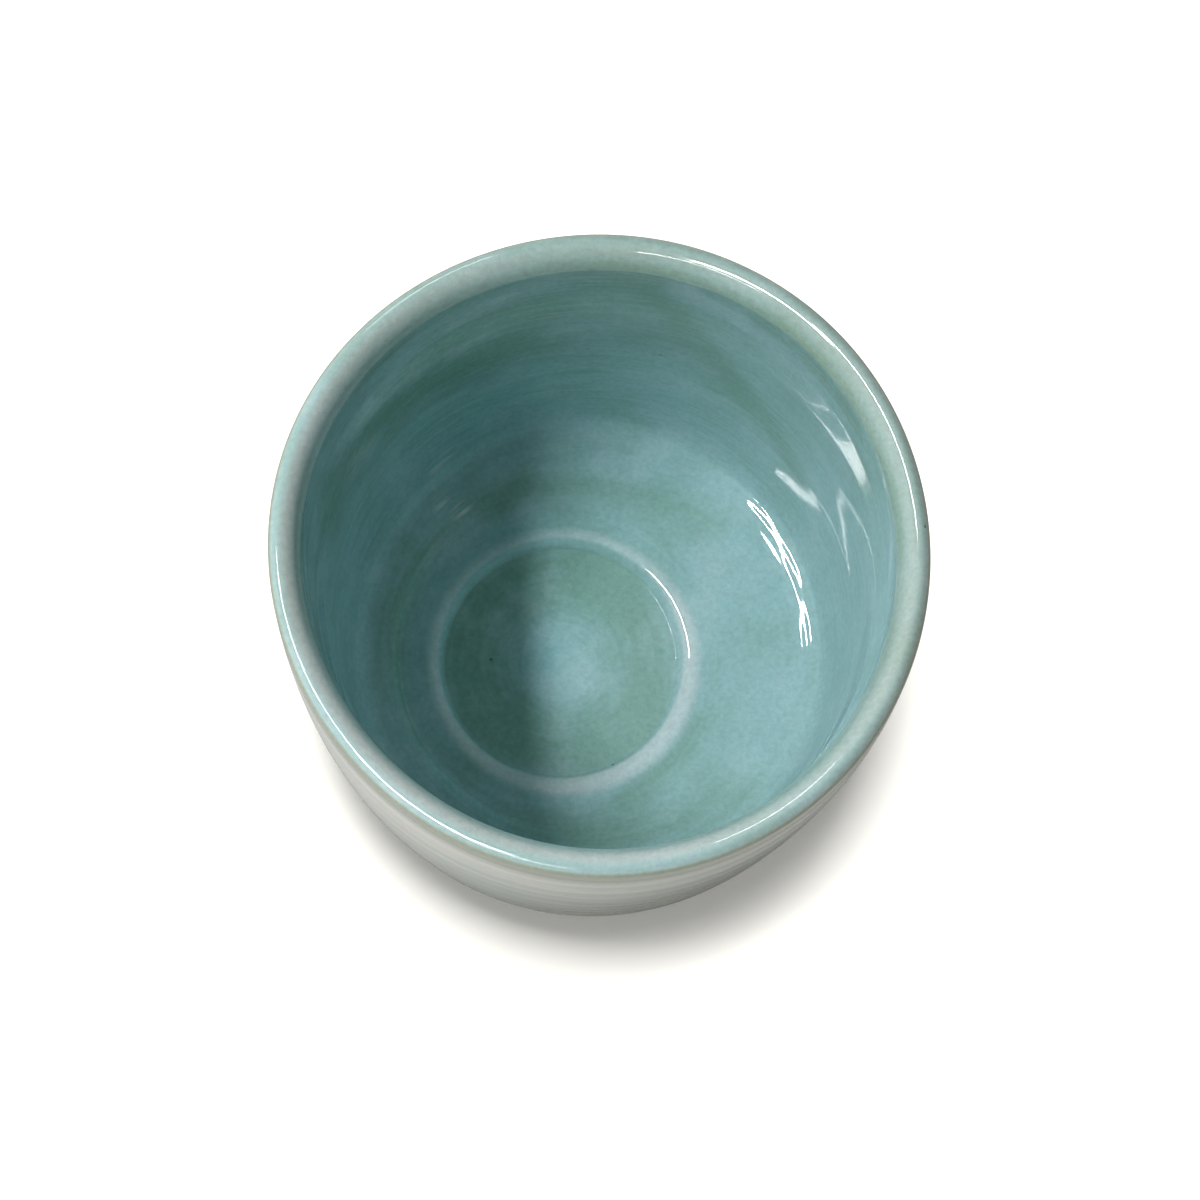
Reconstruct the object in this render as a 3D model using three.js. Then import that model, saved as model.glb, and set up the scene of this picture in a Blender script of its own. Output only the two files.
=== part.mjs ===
import * as THREE from 'three';

// Thrown stoneware cup without a handle: a fired clay body under four fired coats of glaze.
// Millimetres, +Z up, standing on z = 0 with the wheel's axis on Z.
// Every piece is a revolve of one outline, drawn as radius and height; only the well is set off the axis.

// Clay body, outside
const cupHeight = 71.5; // table to the top of the lip
const rimRadius = 42.5; // outside of the lip
const lipThickness = 3.3; // across the lip, at its lower edge
const crestInset = 1.1; // crest of the lip, in from the outside
const crestDrop = 1.3; // height of the tight rounding outside the crest
const lipFall = 1.2; // how far the lip slopes inwards before it turns down
const baseRadius = 38.1; // outside of the wall where it starts to turn under
const heelHeight = 11; // height at which the wall starts to turn under
const wallBelly = 34; // height over the heel at which the wall's curve pulls outwards

// Clay body, inside
const floorThickness = 6.4; // recess ceiling to the ledge round the well
const wallPull = 20; // how far down the inside keeps close to upright
const wallDraft = 0.5; // how much that stretch leans inwards
const waistInset = 2.1; // inside of the wall where it starts to turn into the floor, in from the base
const waistRise = 10; // height of that place over the heel
const waistLean = 0.145; // lean of the wall at that place, per mm
const waistPull = 9; // how far over the waist the wall takes on that lean
const cornerPull = 6; // how far under the waist the corner keeps it
const cornerWidth = 4.4; // from the waist in to the outer edge of the sloping floor
const floorRise = 2.1; // height of that edge over the ledge
const floorSlope = 0.27; // slope of the floor at that edge, per mm
const floorPull = 3; // how far to both sides of that edge the floor keeps its slope
const ledgeWidth = 2.4; // flat ledge between the well's shoulder and the floor
const wellRadius = 19.5; // outer edge of the well's rounded shoulder
const wellDepth = 1.4; // ledge down to the well's flat bottom
const shoulderRadius = 1.1; // rounding at the top of the well's side
const wellFillet = 1.3; // rounding at the bottom of the well's side
const wellShiftX = -4.1; // centre of the well off the wheel's axis, as thrown
const wellShiftY = -1.5;

// Foot ring
const footRadius = 27; // outside of the ring
const footRingWidth = 4.6; // across the ring
const footHeight = 2.4; // underside of the heel over the table
const footCove = 0.8; // hollow rounding where the ring meets the heel
const footEdge = 0.6; // rounding of the ring's two lower edges
const recessDepth = 2.1; // table to the recess ceiling
const recessFillet = 0.7; // rounding in the corner of the recess
const bareMargin = 1.6; // bare clay between the ring and the outer coat

// Glaze coats
const glazeThickness = 0.4;
const bondGap = 0.05; // clearance between clay and coat
const seamGap = 0.1; // clearance between two coats that meet
const bandInside = 3.4; // how far the rim band reaches down the inside
const bandOutside = 3.2; // how far the rim band reaches down the outside
const recessMargin = 1.2; // bare clay round the coat in the recess

// Facets
const turnSegments = 44; // round the axis
const wallSteps = 7; // along the outside wall
const heelSteps = 6; // along the turn under the wall
const bowlSteps = 6; // along the inside wall, and along the corner under it
const lipSteps = 4; // along each side of the lip
const roundSteps = 2; // along each small rounding

const footInner = footRadius - footRingWidth;
const rimInner = rimRadius - lipThickness;
const ledgeHeight = recessDepth + floorThickness;
const wellBottom = ledgeHeight - wellDepth;
const waistRadius = baseRadius - waistInset;
const waistHeight = heelHeight + waistRise;
const floorRadius = waistRadius - cornerWidth;
const floorHeight = ledgeHeight + floorRise;
const ledgeRadius = wellRadius + ledgeWidth;
const glazeLineRadius = footRadius + footCove + bareMargin;

// Underside of the floor inside the ring, from the axis outwards
function recessLine() {
  const line = new THREE.Path();
  line.moveTo(0, recessDepth);
  line.lineTo(footInner - recessFillet, recessDepth);
  return line.getPoints(1);
}

// Bare foot ring, from the recess down, across and up to the outer coat's lower edge
function footLine() {
  const line = new THREE.Path();
  line.moveTo(footInner - recessFillet, recessDepth);
  line.quadraticCurveTo(footInner, recessDepth, footInner, recessDepth - recessFillet);
  line.lineTo(footInner, footEdge);
  line.quadraticCurveTo(footInner, 0, footInner + footEdge, 0);
  line.lineTo(footRadius - footEdge, 0);
  line.quadraticCurveTo(footRadius, 0, footRadius, footEdge);
  line.lineTo(footRadius, footHeight - footCove);
  line.quadraticCurveTo(footRadius, footHeight, footRadius + footCove, footHeight);
  line.lineTo(glazeLineRadius, footHeight);
  return line.getPoints(roundSteps);
}

// Turn under the wall: leaves the heel's underside flat and joins the wall in its own direction
function heelLine() {
  const wallLean = (rimRadius - baseRadius) / wallBelly;
  const turnRadius = baseRadius - wallLean * (heelHeight - footHeight);
  const line = new THREE.Path();
  line.moveTo(glazeLineRadius, footHeight);
  line.quadraticCurveTo(turnRadius, footHeight, baseRadius, heelHeight);
  return line.getPoints(heelSteps);
}

// Outside wall, one even curve that ends upright under the rim band
function wallLine() {
  const line = new THREE.Path();
  line.moveTo(baseRadius, heelHeight);
  line.quadraticCurveTo(rimRadius, heelHeight + wallBelly, rimRadius, cupHeight - bandOutside);
  return line.getPoints(wallSteps);
}

// Lip: tight rounding from the outside up to the crest, then a longer slope to the inside
function lipLine() {
  const crestRadius = rimRadius - crestInset;
  const line = new THREE.Path();
  line.moveTo(rimRadius, cupHeight - bandOutside);
  line.lineTo(rimRadius, cupHeight - crestDrop);
  line.quadraticCurveTo(rimRadius, cupHeight, crestRadius, cupHeight);
  line.bezierCurveTo(
    crestRadius - crestInset, cupHeight,
    rimInner, cupHeight - lipFall,
    rimInner, cupHeight - bandInside,
  );
  return line.getPoints(lipSteps);
}

// Bowl, from the rim band down the wall, round the corner and over the sloping floor to the ledge
function bowlLine() {
  const line = new THREE.Path();
  line.moveTo(rimInner, cupHeight - bandInside);
  line.bezierCurveTo(
    rimInner - wallDraft, cupHeight - bandInside - wallPull,
    waistRadius + waistLean * waistPull, waistHeight + waistPull,
    waistRadius, waistHeight,
  );
  line.bezierCurveTo(
    waistRadius - waistLean * cornerPull, waistHeight - cornerPull,
    floorRadius + floorPull, floorHeight + floorSlope * floorPull,
    floorRadius, floorHeight,
  );
  line.bezierCurveTo(
    floorRadius - floorPull, floorHeight - floorSlope * floorPull,
    ledgeRadius + floorPull, ledgeHeight,
    ledgeRadius, ledgeHeight,
  );
  return line.getPoints(bowlSteps);
}

// Sunk well: ledge, rounded shoulder, sloping side, hollow rounding and flat bottom
function wellLine() {
  const sideTop = wellRadius - shoulderRadius;
  const line = new THREE.Path();
  line.moveTo(ledgeRadius, ledgeHeight);
  line.lineTo(wellRadius, ledgeHeight);
  line.quadraticCurveTo(sideTop, ledgeHeight, sideTop - wellDepth / 2, ledgeHeight - wellDepth / 2);
  line.quadraticCurveTo(sideTop - wellDepth, wellBottom, sideTop - wellDepth - wellFillet, wellBottom);
  line.lineTo(0, wellBottom);
  return line.getPoints(roundSteps + 1);
}

// Joins stretches of outline that follow each other, keeping each shared point once
function joinLines(...lines) {
  return lines.reduce((whole, line) => whole.concat(line.slice(1)));
}

// Outward normal of the side between two outline points: the clay lies on the left of the outline
function sideNormal(from, to) {
  const side = new THREE.Vector2().subVectors(to, from).normalize();
  return new THREE.Vector2(side.y, -side.x);
}

// Moves every side of an open outline outwards by the same distance
function offsetLine(points, distance) {
  const lastSide = points.length - 2;
  return points.map((point, i) => {
    const sideBefore = Math.max(i - 1, 0);
    const sideAfter = Math.min(i, lastSide);
    const before = sideNormal(points[sideBefore], points[sideBefore + 1]);
    const after = sideNormal(points[sideAfter], points[sideAfter + 1]);
    const shift = distance / (1 + before.dot(after));
    return before.add(after).multiplyScalar(shift).add(point);
  });
}

// Draws the ends of an outline back along their own sides
function trimLine(points, startTrim, endTrim) {
  const trimmed = points.map((point) => point.clone());
  const last = points.length - 1;
  const startSide = new THREE.Vector2().subVectors(points[1], points[0]).setLength(startTrim);
  const endSide = new THREE.Vector2().subVectors(points[last - 1], points[last]).setLength(endTrim);
  trimmed[0].add(startSide);
  trimmed[last].add(endSide);
  return trimmed;
}

// Closed outline of a coat of even thickness that lies over a stretch of clay
function coatOutline(points, startTrim, endTrim) {
  const line = trimLine(points, startTrim, endTrim);
  const inside = offsetLine(line, bondGap);
  const outside = offsetLine(line, bondGap + glazeThickness);
  return outside.concat(inside.reverse());
}

function revolve(name, outline, material) {
  const geometry = new THREE.LatheGeometry(outline, turnSegments);
  geometry.rotateX(Math.PI / 2);
  const mesh = new THREE.Mesh(geometry, material);
  mesh.name = name;
  return mesh;
}

// Sets the well off the axis: the ledge moves with it, and the sloping floor takes up the difference
function shiftWell(mesh) {
  const spots = mesh.geometry.attributes.position;
  for (let i = 0; i < spots.count; i += 1) {
    const radius = Math.hypot(spots.getX(i), spots.getY(i));
    const inside = spots.getZ(i) > (recessDepth + wellBottom) / 2;
    const share = inside ? 1 - THREE.MathUtils.smoothstep(radius, ledgeRadius, floorRadius) : 0;
    spots.setX(i, spots.getX(i) + wellShiftX * share);
    spots.setY(i, spots.getY(i) + wellShiftY * share);
  }
  mesh.geometry.computeVertexNormals();
  return mesh;
}

function closed(outline) {
  return outline.concat(outline[0].clone());
}

// A coat that starts or ends on the axis is closed by the axis itself
function onAxis(outline) {
  const start = outline.findIndex((point, i) => point.x === 0 && outline[(i + 1) % outline.length].x === 0);
  return outline.slice(start + 1).concat(outline.slice(0, start + 1));
}

function clayBody() {
  const outline = joinLines(
    recessLine(), footLine(), heelLine(), wallLine(), lipLine(), bowlLine(), wellLine(),
  );
  const clay = new THREE.MeshStandardMaterial({ color: '#c8bfae', roughness: 0.85, metalness: 0 });
  return shiftWell(revolve('clay_body', outline, clay));
}

function footGlaze() {
  const outline = coatOutline(recessLine(), 0, recessMargin);
  const glaze = new THREE.MeshStandardMaterial({ color: '#a9b0a5', roughness: 0.16, metalness: 0 });
  return revolve('foot_glaze', onAxis(outline), glaze);
}

function outerGlaze() {
  const outline = coatOutline(joinLines(heelLine(), wallLine()), 0, seamGap / 2);
  const glaze = new THREE.MeshStandardMaterial({ color: '#b2b9b0', roughness: 0.14, metalness: 0 });
  return revolve('outer_glaze', closed(outline), glaze);
}

function rimGlaze() {
  const outline = coatOutline(lipLine(), seamGap / 2, seamGap / 2);
  const glaze = new THREE.MeshStandardMaterial({ color: '#a9c0bf', roughness: 0.1, metalness: 0 });
  return revolve('rim_glaze', closed(outline), glaze);
}

function innerGlaze() {
  const outline = coatOutline(joinLines(bowlLine(), wellLine()), seamGap / 2, 0);
  const glaze = new THREE.MeshStandardMaterial({ color: '#73a09f', roughness: 0.1, metalness: 0 });
  return shiftWell(revolve('inner_glaze', onAxis(outline), glaze));
}

const cup = new THREE.Group();
cup.add(clayBody(), footGlaze(), outerGlaze(), rimGlaze(), innerGlaze());

export default cup;
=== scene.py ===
import bpy
import numpy as np
from mathutils import Matrix, Vector


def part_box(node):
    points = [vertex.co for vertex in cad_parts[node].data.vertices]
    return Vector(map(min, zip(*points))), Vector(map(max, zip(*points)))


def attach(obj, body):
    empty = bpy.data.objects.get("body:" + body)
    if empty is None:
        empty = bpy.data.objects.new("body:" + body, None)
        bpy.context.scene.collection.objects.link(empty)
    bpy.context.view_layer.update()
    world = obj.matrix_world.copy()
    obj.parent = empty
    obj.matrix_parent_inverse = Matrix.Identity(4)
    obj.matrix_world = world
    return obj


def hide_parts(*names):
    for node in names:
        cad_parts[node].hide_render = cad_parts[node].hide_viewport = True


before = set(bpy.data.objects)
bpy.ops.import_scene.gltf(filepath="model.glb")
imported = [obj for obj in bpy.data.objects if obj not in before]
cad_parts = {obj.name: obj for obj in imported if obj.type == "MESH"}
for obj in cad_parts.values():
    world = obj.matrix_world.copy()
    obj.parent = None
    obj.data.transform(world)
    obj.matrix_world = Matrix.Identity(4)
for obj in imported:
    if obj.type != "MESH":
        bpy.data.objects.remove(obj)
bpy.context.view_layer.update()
mm = 0.001  # outlines are worked out in millimetres, meshes are in metres

# sizes that the solids fix
rimLow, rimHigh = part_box("rim_glaze")
outerLow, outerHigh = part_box("outer_glaze")
footLow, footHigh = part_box("foot_glaze")
cupTop = rimHigh.z / mm
rimRadius = rimHigh.x / mm
bandLow = rimLow.z / mm       # lower edge of the rim coat
glazeLow = outerLow.z / mm    # underside of the heel at the glaze line
recessLow, recessTop = footLow.z / mm, footHigh.z / mm
recessRadius = footHigh.x / mm
print("frame loaded, cup %.1f mm wide and %.1f mm high" % (2 * rimRadius, cupTop))

coat = dict(thick=0.4, bond=0.05, turns=288)  # glaze thickness, gap to the clay, columns round the axis
angles = np.linspace(0, 2 * np.pi, coat["turns"], endpoint=False)[None, :]


def blendCurve(corners, steps):
    # Bezier curve of radius and height: straight blends between neighbours, repeated until one point is left
    t = np.linspace(0, 1, steps)[:, None]
    level = [np.asarray(corner, float)[None] for corner in corners]
    while len(level) > 1:
        level = [a * (1 - t) + b * t for a, b in zip(level, level[1:])]
    return level[0]


def joinCurves(*curves):
    return np.vstack([curves[0]] + [curve[1:] for curve in curves[1:]])


def thinned(line, step):
    # every so many rows, with the last row kept
    return np.vstack([line[:-1:step], line[-1:]])


def distanceAlong(line):
    return np.concatenate([[0], np.cumsum(np.hypot(*np.diff(line, axis=0).T))])[:, None]


def sideOut(line):
    # unit normal to the right of the line, which is away from the clay
    slope = np.gradient(line, axis=0)
    slope /= np.hypot(slope[:, :1], slope[:, 1:])
    return np.column_stack([slope[:, 1], -slope[:, 0]])


def rise(low, high, x):
    # smooth step from 0 at low to 1 at high
    t = np.clip((x - low) / (high - low), 0, 1)
    return t * t * (3 - 2 * t)


def hump(middle, width, x):
    return np.exp(-((x - middle) / width) ** 2)


def softNoise(along, seed):
    # a few long waves round and up the wall, roughly -1 to 1
    draw = np.random.default_rng(seed)
    total = 0
    for count in (1, 2, 3, 5, 7):
        climb, shift = draw.uniform(-0.16, 0.16), draw.uniform(0, 2 * np.pi)
        total = total + np.sin(count * angles + climb * along * np.sqrt(count) + shift) / np.sqrt(count)
    return total / 2.2


# what the potter's hands left on the round outline
thrown = dict(
    lobes=((2, 0.21, -76), (3, 0.2, 151), (4, 0.05, -80)),  # lip out of round: count, mm, degrees
    lobesFrom=30, lobesFull=68,          # heights between which the lobes set in, mm
    wellShift=(-4.1, -1.5),              # centre of the well off the axis, mm
    shiftFrom=29.2, shiftTo=21.9,        # radius from which the shift sets in, and where it is full
    sideTurn=(-20, 8, 50, 80),           # degrees over which the floor has its flatter outline at the right
    rings=((36, 0), (46, -0.01), (50, -0.02), (52.5, -0.031), (53.3, -0.018), (54, 0.005), (56, -0.011),
           (57.6, -0.017), (61.8, -0.031), (65, -0.033), (66.7, -0.036), (69.6, -0.023), (71.2, -0.02),
           (74.3, -0.004), (76.5, 0.03), (78, 0.075), (82.5, 0.08), (84, 0.03), (93, 0)),
    # rings inside: mm from the middle of the bowl, and how far the wall leans there against its outline
    fineRings=((1.3, -9, 0.04), (2.3, 14, 0.04)),  # fine rings in the corner: mm apart, turns, slope
    fineSpan=(30, 31.5, 34.5, 36.5),     # mm from the middle between which they rise and fade
    ringWave=0.15,                       # how far the rings inside climb and fall round the axis, mm
    skinPitch=6.2, skinSlope=0.012,      # rings outside, mm apart and their slope
)


def outOfRound(height):
    # sum of a few cosines round the axis that fades out down the wall
    lobes = sum(size * np.cos(count * angles - np.radians(at)) for count, size, at in thrown["lobes"])
    return lobes * rise(thrown["lobesFrom"], thrown["lobesFull"], height)


def turned(radius, height):
    # points from the radius and height at every angle
    return np.stack([radius * np.cos(angles), radius * np.sin(angles), height + 0 * angles], -1)


def throwLip(line):
    # lobes only: the wheel's rings stop under the lip
    r, z = line[:, :1], line[:, 1:]
    return turned(r + outOfRound(z), z)


def throwOutside(line):
    # lobes, and shallow rings along the normal that climb as one spiral
    r, z = line[:, :1], line[:, 1:]
    out = sideOut(line)
    wave = np.sin(2 * np.pi * z / thrown["skinPitch"] - angles + 1.3 * softNoise(z, 3))
    size = thrown["skinSlope"] * thrown["skinPitch"] / (2 * np.pi)
    push = wave * size * rise(8, 18, z) * rise(bandLow, bandLow - 6, z)
    return turned(r + outOfRound(z) + push * out[:, :1], z + push * out[:, 1:])


def throwInside(line, sideLine, along):
    # rings are their leans summed up the wall, waved a little round the axis; the outline changes to the
    # side outline over part of the turn, and the well moves off the axis
    out = sideOut(line)
    r, z = line[:, :1], line[:, 1:]
    reach = np.linspace(0, 95, 1900)
    lean = np.interp(reach, *np.transpose(thrown["rings"]))
    spot = along + thrown["ringWave"] * softNoise(along, 11) * rise(30, 50, along)
    push = -np.interp(spot, reach, np.cumsum(lean) * reach[1]) * rise(bandLow, bandLow - 5, z)
    fine = sum(np.sin(2 * np.pi * along / pitch + turns * angles) * slope * pitch / (2 * np.pi)
               for pitch, turns, slope in thrown["fineRings"])
    low, lowFull, highFull, high = thrown["fineSpan"]
    push = push + fine * rise(low, lowFull, along) * rise(high, highFull, along)
    turn = np.degrees((angles + np.pi) % (2 * np.pi) - np.pi)
    start, full, last, end = thrown["sideTurn"]
    share = rise(start, full, turn) * rise(end, last, turn)
    r = r + (sideLine[:, :1] - r) * share
    z = z + (sideLine[:, 1:] - z) * share
    points = turned(r + outOfRound(z) + push * out[:, :1], z + push * out[:, 1:])
    points[..., :2] += rise(thrown["shiftFrom"], thrown["shiftTo"], r)[..., None] * thrown["wellShift"]
    return points


def stroke(route, width, r, along):
    # soft brush mark: falls off with the distance to a route of degrees and mm along the outline
    nearest = np.inf
    for (turnA, alongA), (turnB, alongB) in zip(route, route[1:]):
        span = np.radians(turnB - turnA) * r
        climb = alongB - alongA
        gap = ((angles - np.radians(turnA) + np.pi) % (2 * np.pi) - np.pi) * r
        t = np.clip((gap * span + (along - alongA) * climb) / (span ** 2 + climb ** 2), 0, 1)
        nearest = np.minimum(nearest, np.hypot(gap - t * span, along - alongA - t * climb))
    return np.exp(-(nearest / width) ** 2)


def gridMesh(name, points, marks, poles):
    # rows along an outline by columns round the axis; the rows close on themselves, or end in two poles
    rows, cols = points.shape[:2]
    a = np.arange(rows - 1 if poles else rows)[:, None]
    b = (a + 1) % rows
    j = np.arange(cols)[None, :]
    k = (j + 1) % cols
    keep = np.ones(rows * cols, bool)
    if poles:
        keep[1:cols] = False
        keep[-cols + 1:] = False
    index = np.cumsum(keep) - 1
    faces = index[np.stack([a * cols + j, a * cols + k, b * cols + k, b * cols + j], -1)].reshape(-1, 4)
    if poles:  # the first and last ring of quads shrink to fans of triangles
        first = np.column_stack([0 * faces[:cols, 2], faces[:cols, 2], faces[:cols, 3]])
        last = np.column_stack([faces[-cols:, :2], 0 * faces[-cols:, 2] + index[-1]])
        loops = np.concatenate([first.ravel(), faces[cols:-cols].ravel(), last.ravel()])
        sizes = np.repeat([3, 4, 3], [cols, len(faces) - 2 * cols, cols])
    else:
        loops, sizes = faces.ravel(), np.full(len(faces), 4)
    mesh = bpy.data.meshes.new(name)
    spots = points.reshape(-1, 3)[keep] * mm
    mesh.vertices.add(len(spots))
    mesh.vertices.foreach_set("co", spots.astype(np.float32).ravel())
    mesh.loops.add(len(loops))
    mesh.loops.foreach_set("vertex_index", loops.astype(np.int32))
    mesh.polygons.add(len(sizes))
    mesh.polygons.foreach_set("loop_start", (np.cumsum(sizes) - sizes).astype(np.int32))
    mesh.polygons.foreach_set("use_smooth", np.ones(len(sizes), bool))
    for key, mark in marks.items():
        layer = mesh.attributes.new(key, "FLOAT", "POINT")
        value = np.broadcast_to(mark, (rows, cols)).ravel()[keep]
        layer.data.foreach_set("value", np.ascontiguousarray(value, np.float32))
    mesh.update(calc_edges=True)
    mesh.set_sharp_from_angle(angle=np.radians(50))
    piece = bpy.data.objects.new(name, mesh)
    bpy.context.collection.objects.link(piece)
    print("made %s, %d faces" % (name, len(mesh.polygons)))
    return piece


def place(piece, node, material):
    piece.data.materials.append(material)
    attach(piece, "root")
    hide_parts(node)


def linear(hexColour):
    # sRGB hex to linear light
    c = np.array([int(hexColour[i:i + 2], 16) for i in (1, 3, 5)]) / 255
    return tuple(np.where(c <= 0.04045, c / 12.92, ((c + 0.055) / 1.055) ** 2.4)) + (1.0,)


def addNode(tree, kind, links, **settings):
    # node with its settings; links maps an input to a value or to another node's socket
    node = tree.nodes.new(kind)
    for key, value in settings.items():
        setattr(node, key, value)
    for key, value in links.items():
        socket = node.inputs[key]
        if isinstance(value, bpy.types.NodeSocket):
            tree.links.new(value, socket)
        else:
            socket.default_value = value
    return node


def newTree(name):
    material = bpy.data.materials.new(name)
    material.use_nodes = True
    material.node_tree.nodes.clear()
    return material, material.node_tree


celadon = dict(
    teal="#88b4b8", green="#6f9c90", pale="#b7c9cb", crest="#c0cbc9", olive="#8f9683",
    # the pale colour after the specks' colour is for painted highlights
    speck="#3f5650", paintedGlint="#d8e6e6",
    cloud=11.0, streak=1.3, hair=0.5, grain=0.8,   # sizes of the patterns, mm
    hairFrom=22.0, hairFull=45.0, hairShare=0.3,   # fine streaks set in up the wall, mm from the middle
    speckApart=6.0, speckSize=0.3,      # iron specks, mm
)


def celadonGlaze(name, roughness):
    # celadon, poured and fired glossy: blue-green over the clay, greener where it pools, grey where it
    # runs thin over an edge, with soft streaks round the wheel, fine grain and a few iron specks
    # the pool, thin, crest and edge marks also carry painted light and shade, and the glint mark carries
    # painted highlights
    material, tree = newTree(name)
    spot = addNode(tree, "ShaderNodeTexCoord", {}).outputs["Object"]
    along = addNode(tree, "ShaderNodeAttribute", {}, attribute_name="along").outputs["Fac"]
    pool = addNode(tree, "ShaderNodeAttribute", {}, attribute_name="pool").outputs["Fac"]
    thin = addNode(tree, "ShaderNodeAttribute", {}, attribute_name="thin").outputs["Fac"]
    crest = addNode(tree, "ShaderNodeAttribute", {}, attribute_name="crest").outputs["Fac"]
    edge = addNode(tree, "ShaderNodeAttribute", {}, attribute_name="edge").outputs["Fac"]
    paintedGlint = addNode(tree, "ShaderNodeAttribute", {}, attribute_name="paintedGlint").outputs["Fac"]

    # long round the cup, short along the outline
    upward = addNode(tree, "ShaderNodeCombineXYZ", {2: along}).outputs[0]
    wound = addNode(tree, "ShaderNodeVectorMath", {0: spot, 1: (0.07, 0.07, 0), 2: upward},
                    operation="MULTIPLY_ADD").outputs[0]
    cloud = addNode(tree, "ShaderNodeTexNoise", {"Vector": spot, "Scale": 1 / (celadon["cloud"] * mm),
                                                 "Detail": 4.0, "Roughness": 0.55}).outputs["Fac"]
    streak = addNode(tree, "ShaderNodeTexNoise", {"Vector": wound, "Scale": 1 / (celadon["streak"] * mm),
                                                  "Detail": 4.0, "Roughness": 0.6}).outputs["Fac"]
    drawn = addNode(tree, "ShaderNodeVectorMath", {0: spot, 1: (0.03, 0.03, 0), 2: upward},
                    operation="MULTIPLY_ADD").outputs[0]
    hair = addNode(tree, "ShaderNodeTexNoise", {"Vector": drawn, "Scale": 1 / (celadon["hair"] * mm),
                                                "Detail": 3.0, "Roughness": 0.6}).outputs["Fac"]
    grain = addNode(tree, "ShaderNodeTexNoise", {"Vector": spot, "Scale": 1 / (celadon["grain"] * mm),
                                                 "Detail": 3.0, "Roughness": 0.7}).outputs["Fac"]
    cells = addNode(tree, "ShaderNodeTexVoronoi", {"Vector": spot, "Scale": 1 / (celadon["speckApart"] * mm)})

    # how deep the glaze lies: painted pools, moved by clouds and streaks
    cloudy = addNode(tree, "ShaderNodeMath", {0: cloud, 1: 1.9, 2: -0.9}, operation="MULTIPLY_ADD").outputs[0]
    wavy = addNode(tree, "ShaderNodeMath", {0: streak, 1: 1.3, 2: cloudy},
                   operation="MULTIPLY_ADD").outputs[0]
    drift = addNode(tree, "ShaderNodeMath", {0: wavy, 1: 0.6}, operation="SUBTRACT").outputs[0]
    deep = addNode(tree, "ShaderNodeMath", {0: pool, 1: drift}, operation="ADD", use_clamp=True).outputs[0]
    colour = addNode(tree, "ShaderNodeMix", {0: deep, 6: linear(celadon["teal"]),
                                             7: linear(celadon["green"])}, data_type="RGBA").outputs[2]
    onWall = addNode(tree, "ShaderNodeMapRange", {0: along, 1: celadon["hairFrom"] * mm,
                                                  2: celadon["hairFull"] * mm,
                                                  4: celadon["hairShare"]}).outputs[0]
    patchy = addNode(tree, "ShaderNodeMapRange", {0: cloud, 1: 0.4, 2: 0.6, 4: onWall}).outputs[0]
    fine = addNode(tree, "ShaderNodeMapRange", {0: hair, 1: 0.48, 2: 0.75, 4: patchy}).outputs[0]
    milky = addNode(tree, "ShaderNodeMapRange", {0: cloud, 1: 0.5, 2: 0.3, 3: fine, 4: 0.22}).outputs[0]
    bare = addNode(tree, "ShaderNodeMath", {0: thin, 1: milky}, operation="ADD", use_clamp=True).outputs[0]
    colour = addNode(tree, "ShaderNodeMix", {0: bare, 6: colour, 7: linear(celadon["pale"])},
                     data_type="RGBA").outputs[2]
    colour = addNode(tree, "ShaderNodeMix", {0: crest, 6: colour, 7: linear(celadon["crest"])},
                     data_type="RGBA").outputs[2]
    colour = addNode(tree, "ShaderNodeMix", {0: edge, 6: colour, 7: linear(celadon["olive"])},
                     data_type="RGBA").outputs[2]
    gritty = addNode(tree, "ShaderNodeMapRange", {0: grain, 1: 0.3, 2: 0.7, 3: 0.9, 4: 1.1}).outputs[0]
    colour = addNode(tree, "ShaderNodeMix", {0: 1.0, 6: colour, 7: gritty}, data_type="RGBA",
                     blend_type="MULTIPLY").outputs[2]

    # painted highlights: pale scratchy glints are kept from the finest streaks where the glint mark is set;
    # specks from four cells in ten
    glintStreak = addNode(tree, "ShaderNodeMapRange", {0: streak, 1: 0.5, 2: 0.62}).outputs[0]
    glinted = addNode(tree, "ShaderNodeMath", {0: glintStreak, 1: paintedGlint}, operation="MULTIPLY").outputs[0]
    colour = addNode(tree, "ShaderNodeMix", {0: glinted, 6: colour, 7: linear(celadon["paintedGlint"])},
                     data_type="RGBA").outputs[2]
    dotEdge = celadon["speckSize"] / celadon["speckApart"]
    dot = addNode(tree, "ShaderNodeMapRange", {0: cells.outputs["Distance"], 1: dotEdge, 2: dotEdge / 3,
                                               3: 0.0, 4: 0.8}).outputs[0]
    chance = addNode(tree, "ShaderNodeSeparateColor", {0: cells.outputs["Color"]}).outputs[0]
    chosen = addNode(tree, "ShaderNodeMath", {0: chance, 1: 0.6}, operation="GREATER_THAN").outputs[0]
    specked = addNode(tree, "ShaderNodeMath", {0: dot, 1: chosen}, operation="MULTIPLY").outputs[0]
    colour = addNode(tree, "ShaderNodeMix", {0: specked, 6: colour, 7: linear(celadon["speck"])},
                     data_type="RGBA").outputs[2]
    shader = addNode(tree, "ShaderNodeBsdfPrincipled", {"Base Color": colour, "Roughness": roughness,
                                                        "IOR": 1.52})
    addNode(tree, "ShaderNodeOutputMaterial", {0: shader.outputs[0]})
    return material


paleCeladon = dict(
    grey="#c8cfcc", warm="#d3d3cc", green="#aab7b3", olive="#848c7c",
    cloud=16.0, streak=2.4, grain=0.8,   # sizes of the patterns, mm
)


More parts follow.
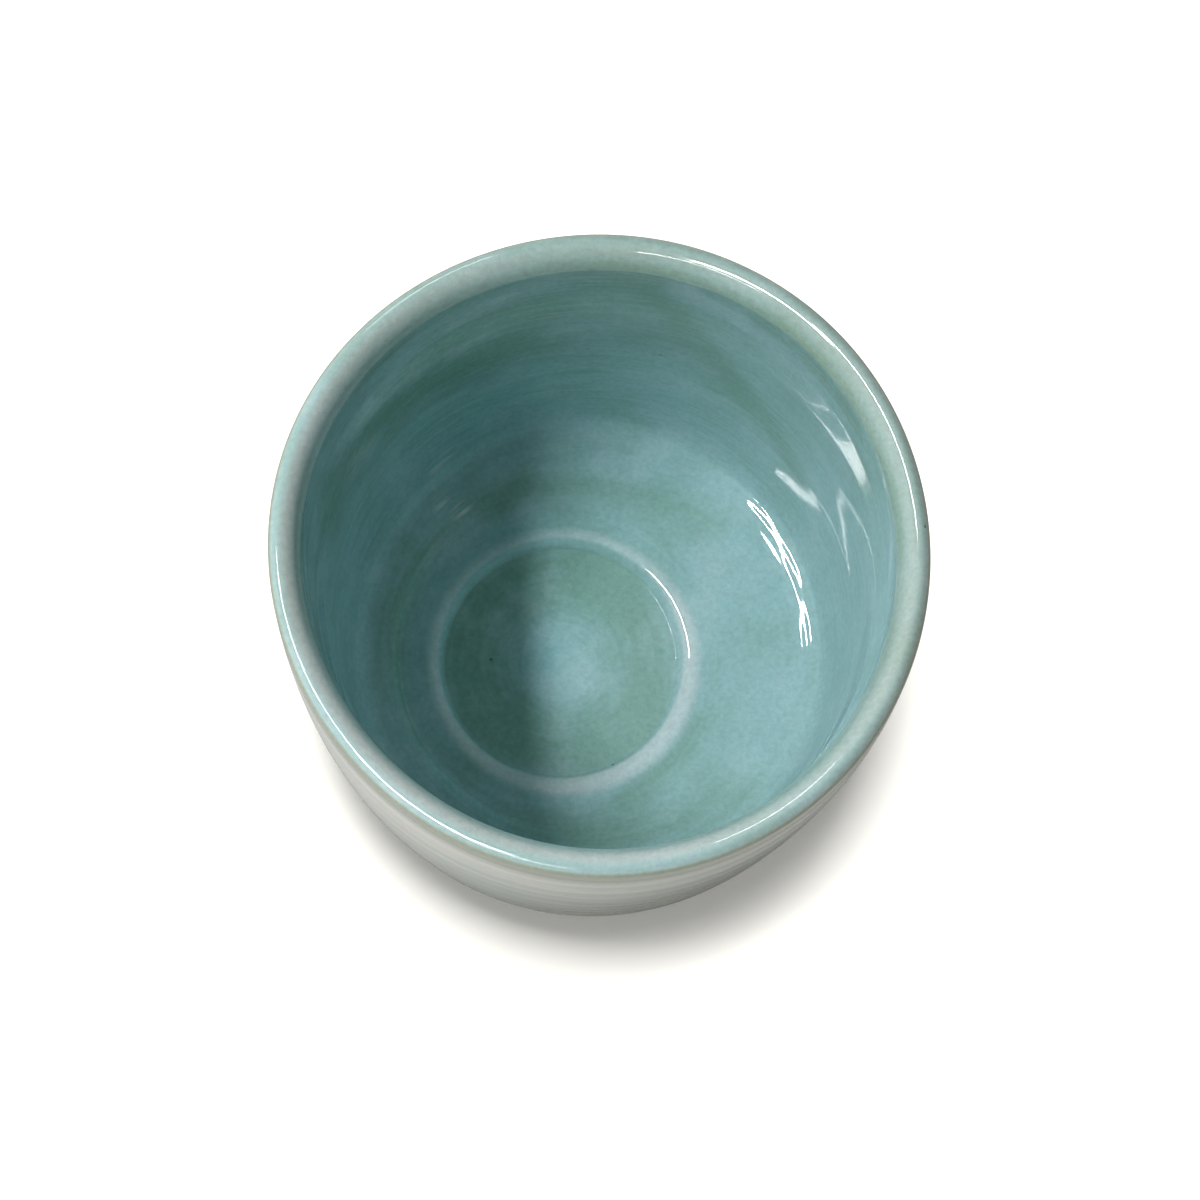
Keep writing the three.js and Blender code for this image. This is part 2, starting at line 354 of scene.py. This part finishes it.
def paleCeladonGlaze(name):
    # the same glaze in a thinner dip: pale grey, warmer where the clay shows through, greenish in rings
    material, tree = newTree(name)
    spot = addNode(tree, "ShaderNodeTexCoord", {}).outputs["Object"]
    wound = addNode(tree, "ShaderNodeMapping", {"Vector": spot, "Scale": (0.07, 0.07, 1.0)}).outputs[0]
    cloud = addNode(tree, "ShaderNodeTexNoise", {"Vector": spot, "Scale": 1 / (paleCeladon["cloud"] * mm),
                                                 "Detail": 4.0}).outputs["Fac"]
    streak = addNode(tree, "ShaderNodeTexNoise", {"Vector": wound, "Scale": 1 / (paleCeladon["streak"] * mm),
                                                  "Detail": 4.0}).outputs["Fac"]
    grain = addNode(tree, "ShaderNodeTexNoise", {"Vector": spot, "Scale": 1 / (paleCeladon["grain"] * mm),
                                                 "Detail": 3.0}).outputs["Fac"]
    patch = addNode(tree, "ShaderNodeMapRange", {0: cloud, 1: 0.4, 2: 0.65}).outputs[0]
    ring = addNode(tree, "ShaderNodeMapRange", {0: streak, 1: 0.4, 2: 0.75, 4: 0.7}).outputs[0]
    colour = addNode(tree, "ShaderNodeMix", {0: patch, 6: linear(paleCeladon["grey"]),
                                             7: linear(paleCeladon["warm"])}, data_type="RGBA").outputs[2]
    colour = addNode(tree, "ShaderNodeMix", {0: ring, 6: colour, 7: linear(paleCeladon["green"])},
                     data_type="RGBA").outputs[2]
    # the edge mark darkens to olive: a run under the lip, and painted shade over the right side
    edge = addNode(tree, "ShaderNodeAttribute", {}, attribute_name="edge").outputs["Fac"]
    colour = addNode(tree, "ShaderNodeMix", {0: edge, 6: colour, 7: linear(paleCeladon["olive"])},
                     data_type="RGBA").outputs[2]
    gritty = addNode(tree, "ShaderNodeMapRange", {0: grain, 1: 0.3, 2: 0.7, 3: 0.95, 4: 1.05}).outputs[0]
    colour = addNode(tree, "ShaderNodeMix", {0: 1.0, 6: colour, 7: gritty}, data_type="RGBA",
                     blend_type="MULTIPLY").outputs[2]
    shader = addNode(tree, "ShaderNodeBsdfPrincipled", {"Base Color": colour, "Roughness": 0.16, "IOR": 1.52})
    addNode(tree, "ShaderNodeOutputMaterial", {0: shader.outputs[0]})
    return material


stoneware = dict(buff="#c8bfae", rust="#b09a7e", grog="#5d5246", cloud=9.0, grogApart=1.6, grogSize=0.16)


def bareStoneware(name):
    # stoneware fired without glaze: matt warm buff, rusty in places, with dark grog
    material, tree = newTree(name)
    spot = addNode(tree, "ShaderNodeTexCoord", {}).outputs["Object"]
    cloud = addNode(tree, "ShaderNodeTexNoise", {"Vector": spot, "Scale": 1 / (stoneware["cloud"] * mm),
                                                 "Detail": 5.0}).outputs["Fac"]
    cells = addNode(tree, "ShaderNodeTexVoronoi", {"Vector": spot,
                                                   "Scale": 1 / (stoneware["grogApart"] * mm)})
    patch = addNode(tree, "ShaderNodeMapRange", {0: cloud, 1: 0.45, 2: 0.75}).outputs[0]
    colour = addNode(tree, "ShaderNodeMix", {0: patch, 6: linear(stoneware["buff"]),
                                             7: linear(stoneware["rust"])}, data_type="RGBA").outputs[2]
    dotEdge = stoneware["grogSize"] / stoneware["grogApart"]
    dot = addNode(tree, "ShaderNodeMapRange", {0: cells.outputs["Distance"], 1: dotEdge, 2: dotEdge / 2,
                                               3: 0.0, 4: 0.7}).outputs[0]
    colour = addNode(tree, "ShaderNodeMix", {0: dot, 6: colour, 7: linear(stoneware["grog"])},
                     data_type="RGBA").outputs[2]
    shader = addNode(tree, "ShaderNodeBsdfPrincipled", {"Base Color": colour, "Roughness": 0.85})
    addNode(tree, "ShaderNodeOutputMaterial", {0: shader.outputs[0]})
    return material


# outer coat: the heel leaves the underside flat, the wall is one curve that ends upright under the lip
wall = dict(
    baseRadius=38.55,   # where the wall starts to turn under
    heelHeight=11.0,
    belly=34.0,         # height over the heel at which the wall pulls outwards
    glazeRadius=29.4,   # lower edge of the coat, under the heel
    edge=0.6,           # rounded edge of the coat there
    oliveHigh=2.0, oliveShare=0.85,   # olive run under the lip
    paintedShadeRight=0.5,                  # painted shade: olive over the right side, away from the light
)
lean = (rimRadius - wall["baseRadius"]) / wall["belly"]
turnRadius = wall["baseRadius"] - lean * (wall["heelHeight"] - glazeLow)
heelCurve = blendCurve([(wall["glazeRadius"], glazeLow), (turnRadius, glazeLow),
                        (wall["baseRadius"], wall["heelHeight"])], 40)
wallCurve = blendCurve([(wall["baseRadius"], wall["heelHeight"]),
                        (rimRadius, wall["heelHeight"] + wall["belly"]), (rimRadius, bandLow)], 100)
outsideLine = joinCurves(heelCurve, wallCurve)
outsideBack = outsideLine - sideOut(outsideLine) * coat["thick"]
# quarter round edge: thickness is the root of 1 less the square of what is left to the full edge
swell = np.sqrt(1 - np.clip(1 - distanceAlong(outsideLine) / wall["edge"], 0, 0.99) ** 2)
outsideFace = outsideBack + (outsideLine - outsideBack) * swell
outerLoop = np.vstack([outsideFace, thinned(outsideBack, 6)[::-1]])
runs = 0.9 + 0.15 * softNoise(0 * outerLoop[:, 1:], 17)
# edge: the olive run under the lip, and painted shade over the right side
outerMarks = dict(edge=np.clip(wall["oliveShare"] * hump(bandLow, wall["oliveHigh"], outerLoop[:, 1:]) * runs
                               + wall["paintedShadeRight"] * (0.5 + 0.5 * np.cos(angles)), 0, 1))
outerCoat = gridMesh("outerCoat", throwOutside(outerLoop), outerMarks, False)
place(outerCoat, "outer_glaze", paleCeladonGlaze("paleCeladonGlaze"))

# rim coat: upright, tight rounding up to the crest, then a longer rounded slope to the inside
lip = dict(
    width=4.2,
    crest=1.4, drop=1.6,    # crest in from the outside, and the height of the rounding up to it
    corner=0.45,            # share of that rounding which its corners leave over
    level=0.9, fall=1.3,    # how far the inner slope stays level, and falls before it turns down
    turn=0.35,              # how far inside the mouth it turns down
)
crestRadius = rimRadius - lip["crest"]
mouthRadius = rimRadius - lip["width"]
lipLine = joinCurves(
    blendCurve([(rimRadius, bandLow), (rimRadius, cupTop - lip["drop"])], 14),
    blendCurve([(rimRadius, cupTop - lip["drop"]), (rimRadius, cupTop - lip["corner"] * lip["drop"]),
                (crestRadius + lip["corner"] * lip["crest"], cupTop), (crestRadius, cupTop)], 36),
    blendCurve([(crestRadius, cupTop), (crestRadius - lip["level"], cupTop),
                (mouthRadius + lip["turn"], cupTop - lip["fall"]), (mouthRadius, bandLow)], 50))
lipBack = lipLine - sideOut(lipLine) * coat["thick"]
lipLoop = np.vstack([lipLine, thinned(lipBack, 5)[::-1]])
lipR, lipZ = lipLoop[:, :1], lipLoop[:, 1:]
outerSide = rise(crestRadius, rimRadius, lipR)
ripple = softNoise(0 * lipR, 21)
paintedLitSide = 0.5 - 0.5 * np.cos(angles - 1.05)  # painted light and shade: 0 at the back right, which is painted darker, 1 at the front left, which is painted paler
# glaze over the lip; a pair is the share everywhere and what is added at the front left or the back right, as
# painted light and shade
lipGlaze = dict(
    paleMiddle=40.5, paleHalf=0.9, pale=(0.35, 0.6), paleRipple=0.2,   # pale band over the inner slope, mm, paler at the front left as painted light
    innerPool=0.5, outerPool=0.3, paintedBackShade=0.15,                       # greener to the mouth and outside, and painted shade at the back right
    thin=(0.1, 0.2), outerThin=0.3,
    oliveWidth=0.5, oliveEdge=0.85, olive=(0.1, 0.4), oliveNoise=0.12,  # dark olive edge outside, mm; the haze grows at the back right as painted shade
)
innerSide = rise(lipGlaze["paleMiddle"] - 0.6, mouthRadius + 0.2, lipR)
onTop = rise(bandLow, cupTop - 1, lipZ) * (1 - lipGlaze["paleRipple"] * (1 - ripple))
band = hump(lipGlaze["paleMiddle"], lipGlaze["paleHalf"], lipR) * onTop
oliveEdge = lipGlaze["oliveEdge"] * rise(rimRadius - lipGlaze["oliveWidth"], rimRadius - 0.1, lipR)
# olive haze over the whole lip, and more at the back right as painted shade
oliveHazeAndShade = lipGlaze["olive"][0] + lipGlaze["olive"][1] * (1 - paintedLitSide)
# pool, thin, crest and edge vary round the lip as painted light and shade
lipMarks = dict(
    along=-distanceAlong(lipLoop) * mm,
    pool=(lipGlaze["innerPool"] * innerSide + lipGlaze["outerPool"] * outerSide
          + lipGlaze["paintedBackShade"] * (1 - paintedLitSide)),
    thin=lipGlaze["thin"][0] + lipGlaze["thin"][1] * paintedLitSide + lipGlaze["outerThin"] * outerSide,
    crest=(lipGlaze["pale"][0] + lipGlaze["pale"][1] * paintedLitSide) * band,
    edge=np.clip(oliveEdge + oliveHazeAndShade + lipGlaze["oliveNoise"] * softNoise(0 * lipR, 33), 0, 0.9),
    paintedGlint=0 * lipR,
)
rimCoat = gridMesh("rimCoat", throwLip(lipLoop), lipMarks, False)
place(rimCoat, "rim_glaze", celadonGlaze("rimCeladonGlaze", 0.08))

# liner coat: wall, full corner, gently sloping floor, raised shoulder and flat well
bowl = dict(
    wallPull=20.0, wallDraft=0.5,                        # how far down the wall stays close to upright
    waistRadius=35.55, waistHeight=20.95,                # where it starts to turn into the floor
    waistLean=0.145, waistPull=9.0, cornerPull=6.0,
    toe=(31.5, 11.03), toeSlope=0.27, toePull=3.0,       # foot of the corner, then the slope to the floor
    heel=(29.2, 10.4), heelSlope=0.285, heelPull=0.8,
    floor=(27.0, 9.78), floorSlope=0.26, floorPull=2.0,
    slopePull=0.8,
    ledge=(21.9, 8.95), ledgePull=1.0,
    shoulder=(19.3, 9.15), shoulderPull=1.9,             # crest of the shoulder round the well
    well=(16.6, 7.55), wellPull=0.35,
)
# at the right, where the well leaves the widest floor, the floor is flat and the corner tighter
bowlSide = dict(bowl, cornerPull=7.6, toe=(32.9, 9.98), toeSlope=0.385, toePull=1.0, heel=(30.5, 9.18),
                heelPull=0.5, floor=(29.2, 9.0), floorSlope=0.01)


def bowlOutline(sizes):
    # from the mouth down the wall, round the corner, over the floor and the shoulder to the well's middle
    waist = np.array([sizes["waistRadius"], sizes["waistHeight"]])
    toe, heel, floor, ledge, shoulder, well = [
        np.array(sizes[key]) for key in ("toe", "heel", "floor", "ledge", "shoulder", "well")]
    up = np.array([sizes["waistLean"], 1.0])
    offToe, offHeel, offFloor = [
        np.array([1.0, sizes[key]]) for key in ("toeSlope", "heelSlope", "floorSlope")]
    heelPull, floorPull = sizes["heelPull"], sizes["floorPull"]
    level = np.array([1.0, 0.0])
    ledgePull, pull, wellPull = [sizes[key] * level for key in ("ledgePull", "shoulderPull", "wellPull")]
    slope = sizes["slopePull"]
    return joinCurves(
        blendCurve([(mouthRadius, bandLow), (mouthRadius - sizes["wallDraft"], bandLow - sizes["wallPull"]),
                    waist + up * sizes["waistPull"], waist], 140),
        blendCurve([waist, waist - up * sizes["cornerPull"], toe + offToe * sizes["toePull"], toe], 40),
        blendCurve([toe, toe - slope * offToe, heel + slope * offHeel, heel], 16),
        blendCurve([heel, heel - offHeel * heelPull, floor + offFloor * heelPull, floor], 12),
        blendCurve([floor, floor - offFloor * floorPull, ledge + level * floorPull, ledge], 20),
        blendCurve([ledge, ledge - ledgePull, shoulder + ledgePull, shoulder], 18),
        blendCurve([shoulder, shoulder - pull, well + wellPull, well], 28),
        blendCurve([well, (0, well[1])], 12))


bowlLine, sideLine = bowlOutline(bowl), bowlOutline(bowlSide)
fromMiddle = distanceAlong(bowlLine)[-1] - distanceAlong(bowlLine)
sideAlong = distanceAlong(sideLine)[-1] - distanceAlong(sideLine)


def coatLoop(line, step):
    # rows of the back, thinned out and in reverse, then of the face
    back = line - sideOut(line) * coat["thick"]
    back[-1, 0] = 0
    return np.vstack([thinned(back, step)[::-1], line])


bowlLoop, sideLoop = coatLoop(bowlLine, 7), coatLoop(sideLine, 7)
bowlAlong = np.vstack([thinned(fromMiddle, 7)[::-1], fromMiddle])
bowlR = bowlLoop[:, :1]

# greener marks over the liner, mostly where it ran thick or thin, and painted shade at the back left: route
# in degrees and mm from the middle, width in mm, strength
pools = (
    (((88, 89), (76, 73), (56, 56), (42, 50)), 3.2, 0.7),
    (((97, 82), (82, 68), (62, 56)), 7.0, 0.45),
    (((29, 80), (26, 73)), 3.4, 0.5),
    # these two: a greener, darker band just under the lip
    (((-25, 89), (2, 88.5), (27, 88), (62, 88.5)), 2.4, 0.75),
    (((62, 90), (102, 90), (152, 90)), 2.4, 0.5),
    (((128, 80), (112, 84)), 3.5, 0.4),
    # painted shade: this wide stroke darkens the shaded back left wall in the green of pooled glaze
    (((165, 72), (135, 71), (112, 68)), 10.0, 0.95),
    (((118, 27), (150, 27), (180, 27.5), (212, 27)), 3.2, 0.8),
    (((52, 26), (85, 25.5), (118, 26)), 1.8, 0.6),
    (((-18, 22.5), (-42, 22.3), (-61, 23)), 1.5, 0.5),
    (((-100, 26), (-70, 27), (-40, 30)), 4.5, 0.65),
)
# painted highlights: two faint pale glints on the lower left wall; route in degrees and mm from the middle,
# width in mm, strength
paintedGlints = (
    (((136, 28), (141, 31)), 1.3, 0.6),
    (((132, 38), (137, 37)), 1.3, 0.5),
)
pool = sum(strength * stroke(route, width, bowlR, bowlAlong) for route, width, strength in pools)
paintedGlint = sum(strength * stroke(route, width, bowlR, bowlAlong) for route, width, strength in paintedGlints)
# glaze of the floor: thin over the shoulder, in a band that is wider at the right, and pooled in the well;
# painted light makes it paler over the lit right of the bowl
floorGlaze = dict(
    bareFrom=17.3, bareFromBack=0.5,     # inner edge of the band, mm, and how far out it lies at the back
    bareTo=19.3, bareToRight=0.6,        # outer edge, and how far out it lies at the right
    bare=0.7, bareFront=0.2,             # share, and what the front adds
    paintedLitPale=0.11,                      # painted light: paler over the lit right of the bowl
    wellPool=0.8, wellClear=3, wellFull=11,   # pooled in the well, but not in its middle, mm
)
wellPool = rise(bowl["well"][0] + 1, bowl["well"][0] - 0.5, bowlR)
wellPool = wellPool * rise(floorGlaze["wellClear"], floorGlaze["wellFull"], bowlR)
bareFrom = floorGlaze["bareFrom"] + floorGlaze["bareFromBack"] * np.sin(angles)
bareTo = floorGlaze["bareTo"] + floorGlaze["bareToRight"] * np.cos(angles + 0.3)
shoulderBand = rise(bareFrom, bareFrom + 0.7, bowlR) * rise(bareTo + 1.1, bareTo - 0.9, bowlR)
shoulderShare = floorGlaze["bare"] - floorGlaze["bareFront"] * np.sin(angles)
bowlMarks = dict(
    along=bowlAlong * mm,
    pool=np.minimum(pool + floorGlaze["wellPool"] * wellPool, 1.0),
    # thin: the pale band over the shoulder, and painted light over the lit right of the bowl
    thin=shoulderShare * shoulderBand + floorGlaze["paintedLitPale"] * (1 + np.cos(angles + 0.2)),
    crest=0 * bowlR,
    edge=0 * bowlR,
    paintedGlint=paintedGlint,
)
ringAlong = np.vstack([thinned(sideAlong, 7)[::-1], sideAlong])
linerCoat = gridMesh("linerCoat", throwInside(bowlLoop, sideLoop, ringAlong), bowlMarks, True)
place(linerCoat, "inner_glaze", celadonGlaze("linerCeladonGlaze", 0.05))

# clay body: turned foot ring, then the coats' outlines drawn in by coat and bond
foot = dict(outer=27.0, inner=22.4, cove=0.8, edge=0.6, recess=2.1, fillet=0.7, underside=2.4)
footLine = np.vstack([
    blendCurve([(0, foot["recess"]), (foot["inner"] - foot["fillet"], foot["recess"])], 8),
    blendCurve([(foot["inner"] - foot["fillet"], foot["recess"]), (foot["inner"], foot["recess"]),
                (foot["inner"], foot["recess"] - foot["fillet"])], 8)[1:],
    blendCurve([(foot["inner"], foot["edge"]), (foot["inner"], 0), (foot["inner"] + foot["edge"], 0)], 8),
    blendCurve([(foot["outer"] - foot["edge"], 0), (foot["outer"], 0), (foot["outer"], foot["edge"])], 8),
    blendCurve([(foot["outer"], foot["underside"] - foot["cove"]), (foot["outer"], foot["underside"]),
                (foot["outer"] + foot["cove"], foot["underside"])], 8)])
sink = coat["thick"] + coat["bond"]
outsideClay = thinned(outsideLine - sideOut(outsideLine) * sink, 3)
lipClay = thinned(lipLine - sideOut(lipLine) * sink, 3)
bowlClay, sideClay = [thinned(line - sideOut(line) * sink, 4) for line in (bowlLine, sideLine)]
bowlClay[-1, 0] = sideClay[-1, 0] = 0
clayRows = [throwOutside(np.vstack([footLine, outsideClay])), throwLip(lipClay),
            throwInside(bowlClay, sideClay, thinned(sideAlong, 4))]
clayBody = gridMesh("clayBody", np.vstack(clayRows), {}, True)
place(clayBody, "clay_body", bareStoneware("bareStoneware"))

# foot coat: a flat disc of glaze in the recess with a rounded edge
recess = dict(edge=0.4)
recessFlat = recessRadius - recess["edge"]
recessLine = joinCurves(
    blendCurve([(0, recessLow), (recessFlat, recessLow)], 12),
    blendCurve([(recessFlat, recessLow), (recessRadius, recessLow), (recessRadius, recessTop)], 8),
    blendCurve([(recessRadius, recessTop), (0, recessTop)], 6))
footCoat = gridMesh("footCoat", throwLip(recessLine), dict(edge=0 * recessLine[:, :1]), True)
place(footCoat, "foot_glaze", paleCeladonGlaze("footCeladonGlaze"))
cupPieces = (outerCoat, rimCoat, linerCoat, clayBody, footCoat)

# camera fitted to the photograph: degrees, mm, and pixels of its 1200 px frame
view = dict(elevation=76.6, roll=6.22, distance=558.35, focal=4161.7, frame=1200, aimLow=21.475,
            offset=(-2.92, -14.5))


def photoCamera():
    # camera on the -Y side, aimed so that a point on the axis under the lip lands at the offset pixel
    e, roll = np.radians(view["elevation"]), np.radians(view["roll"])
    back = np.array([0, -np.cos(e), np.sin(e)])
    right, up = np.array([1.0, 0, 0]), np.array([0, np.sin(e), np.cos(e)])
    turnedRight = np.cos(roll) * right + np.sin(roll) * up
    turnedUp = -np.sin(roll) * right + np.cos(roll) * up
    perPixel = view["distance"] / view["focal"]
    aim = np.array([0, 0, cupTop - view["aimLow"]])
    aim = aim - turnedRight * view["offset"][0] * perPixel + turnedUp * view["offset"][1] * perPixel
    data = bpy.data.cameras.new("photoCamera")
    data.sensor_width = 36
    data.lens = data.sensor_width * view["focal"] / view["frame"]
    data.clip_start, data.clip_end = 0.01, 20
    camera = bpy.data.objects.new("photoCamera", data)
    bpy.context.collection.objects.link(camera)
    axes = Matrix((turnedRight, turnedUp, back)).transposed().to_4x4()
    camera.matrix_world = Matrix.Translation(Vector((aim + back * view["distance"]) * mm)) @ axes
    bpy.context.scene.camera = camera


studio = dict(
    world=0.24,                       # light from all round
    paper="#f0eee8", lift=0.15,       # floor's own white, and its lift for the camera
    bounce="#dbdad7", mirrored="#949390",   # what the floor throws back at the cup, and shows in its glaze
    shine=0.1,                        # light from all round that the glaze mirrors
    fadeFrom=0.14, fadeTo=0.4,        # where the floor fades to plain white for the camera, metres
    # long lamp at the left: metres up, share of that away, degrees round
    stripUp=0.9, stripAway=0.51, stripTurn=-173.3,
)


def floorStage():
    half = 4.0
    mesh = bpy.data.meshes.new("floor")
    corners = [(-half, -half, 0), (half, -half, 0), (half, half, 0), (-half, half, 0)]
    mesh.from_pydata(corners, [], [(0, 1, 2, 3)])
    floor = bpy.data.objects.new("floor", mesh)
    bpy.context.collection.objects.link(floor)
    material, tree = newTree("whitePaper")
    path = addNode(tree, "ShaderNodeLightPath", {}).outputs
    seen = path["Is Camera Ray"]
    spot = addNode(tree, "ShaderNodeTexCoord", {}).outputs["Object"]
    away = addNode(tree, "ShaderNodeVectorMath", {0: spot}, operation="LENGTH").outputs["Value"]
    far = addNode(tree, "ShaderNodeMapRange", {0: away, 1: studio["fadeFrom"],
                                               2: studio["fadeTo"]}).outputs[0]
    fade = addNode(tree, "ShaderNodeMath", {0: far, 1: seen}, operation="MULTIPLY").outputs[0]
    lift = addNode(tree, "ShaderNodeMath", {0: seen, 1: studio["lift"]}, operation="MULTIPLY").outputs[0]
    tone = addNode(tree, "ShaderNodeMix", {0: path["Is Glossy Ray"], 6: linear(studio["bounce"]),
                                           7: linear(studio["mirrored"])}, data_type="RGBA").outputs[2]
    tone = addNode(tree, "ShaderNodeMix", {0: seen, 6: tone, 7: linear(studio["paper"])},
                   data_type="RGBA").outputs[2]
    paper = addNode(tree, "ShaderNodeBsdfDiffuse", {"Color": tone})
    glow = addNode(tree, "ShaderNodeEmission", {"Color": (1, 1, 1, 1), "Strength": lift})
    near = addNode(tree, "ShaderNodeAddShader", {0: paper.outputs[0], 1: glow.outputs[0]})
    white = addNode(tree, "ShaderNodeEmission", {"Color": (1, 1, 1, 1), "Strength": 1.0})
    both = addNode(tree, "ShaderNodeMixShader", {0: fade, 1: near.outputs[0], 2: white.outputs[0]})
    addNode(tree, "ShaderNodeOutputMaterial", {0: both.outputs[0]})
    mesh.materials.append(material)
    return floor


def studioWorld():
    world = bpy.data.worlds.new("studio")
    bpy.context.scene.world = world
    world.use_nodes = True
    tree = world.node_tree
    tree.nodes.clear()
    path = addNode(tree, "ShaderNodeLightPath", {}).outputs
    around = addNode(tree, "ShaderNodeMapRange", {0: path["Is Glossy Ray"], 3: studio["world"],
                                                  4: studio["shine"]}).outputs[0]
    strength = addNode(tree, "ShaderNodeMapRange", {0: path["Is Camera Ray"], 3: around, 4: 1.0}).outputs[0]
    sky = addNode(tree, "ShaderNodeBackground", {"Color": (1, 1, 1, 1), "Strength": strength})
    addNode(tree, "ShaderNodeOutputWorld", {0: sky.outputs[0]})


def lampAt(name, spot, size, light, receivers):
    # flat lamp that faces the cup and gives a level white card so much light; it lights only the receivers
    data = bpy.data.lights.new(name, "AREA")
    data.shape = "RECTANGLE"
    data.size, data.size_y = size
    data.energy = light * np.pi ** 2 * np.linalg.norm(spot) ** 3 / spot[2]
    lamp = bpy.data.objects.new(name, data)
    bpy.context.collection.objects.link(lamp)
    lamp.location = spot
    lamp.rotation_euler = (-Vector(spot)).to_track_quat("-Z", "Y").to_euler()
    group = bpy.data.collections.new(name + "Lit")
    for piece in receivers:
        group.objects.link(piece)
    lamp.light_linking.receiver_collection = group
    return lamp


def stripLamp(name, part, receivers):
    # part of the long lamp, between two shares of its height from its nearest point
    start, end, thick, light = part
    turn = np.radians(studio["stripTurn"])
    out, side = np.array([np.cos(turn), np.sin(turn)]), np.array([-np.sin(turn), np.cos(turn)])
    spot = np.append(studio["stripAway"] * out + (start + end) / 2 * side, 1.0) * studio["stripUp"]
    return lampAt(name, spot, ((end - start) * studio["stripUp"], thick), light, receivers)


# parts of the long lamp: start and end as shares of its height, thickness in metres, light; the last two are
# only mirrored in the lip; other lamps: place, width and depth in metres, light; the fills aren't mirrored
lamps = dict(
    strip=(-0.24, 0.28, 0.06, 0.72),
    stripEnd=(0.28, 0.85, 0.05, 1.1),
    stripTail=(0.85, 1.6, 0.04, 0.12),
    backWindow=((-0.46, 0.83, 0.75), (0.35, 0.1), 0.1),
    fill=((0.79, 0.14, 0.9), (0.6, 0.6), 0.065),
    outsideFill=((-0.8, -0.7, 0.6), (0.6, 0.6), 0.17),
    paperLamp=((-0.12, 0.02, 3.0), (0.5, 0.5), 1.35),
)
floor = floorStage()
studioWorld()
photoCamera()
bpy.context.scene.view_settings.view_transform = "Standard"
stripLamp("strip", lamps["strip"], cupPieces)
stripEnd = stripLamp("stripEnd", lamps["stripEnd"], (rimCoat,))
stripTail = stripLamp("stripTail", lamps["stripTail"], (rimCoat,))
stripEnd.visible_diffuse = stripTail.visible_diffuse = False
lampAt("backWindow", *lamps["backWindow"], cupPieces)
fill = lampAt("fill", *lamps["fill"], (linerCoat,))
outsideFill = lampAt("outsideFill", *lamps["outsideFill"], (outerCoat, rimCoat))
fill.visible_glossy = outsideFill.visible_glossy = False
lampAt("paperLamp", *lamps["paperLamp"], (floor,))
print("stage, light and camera set")
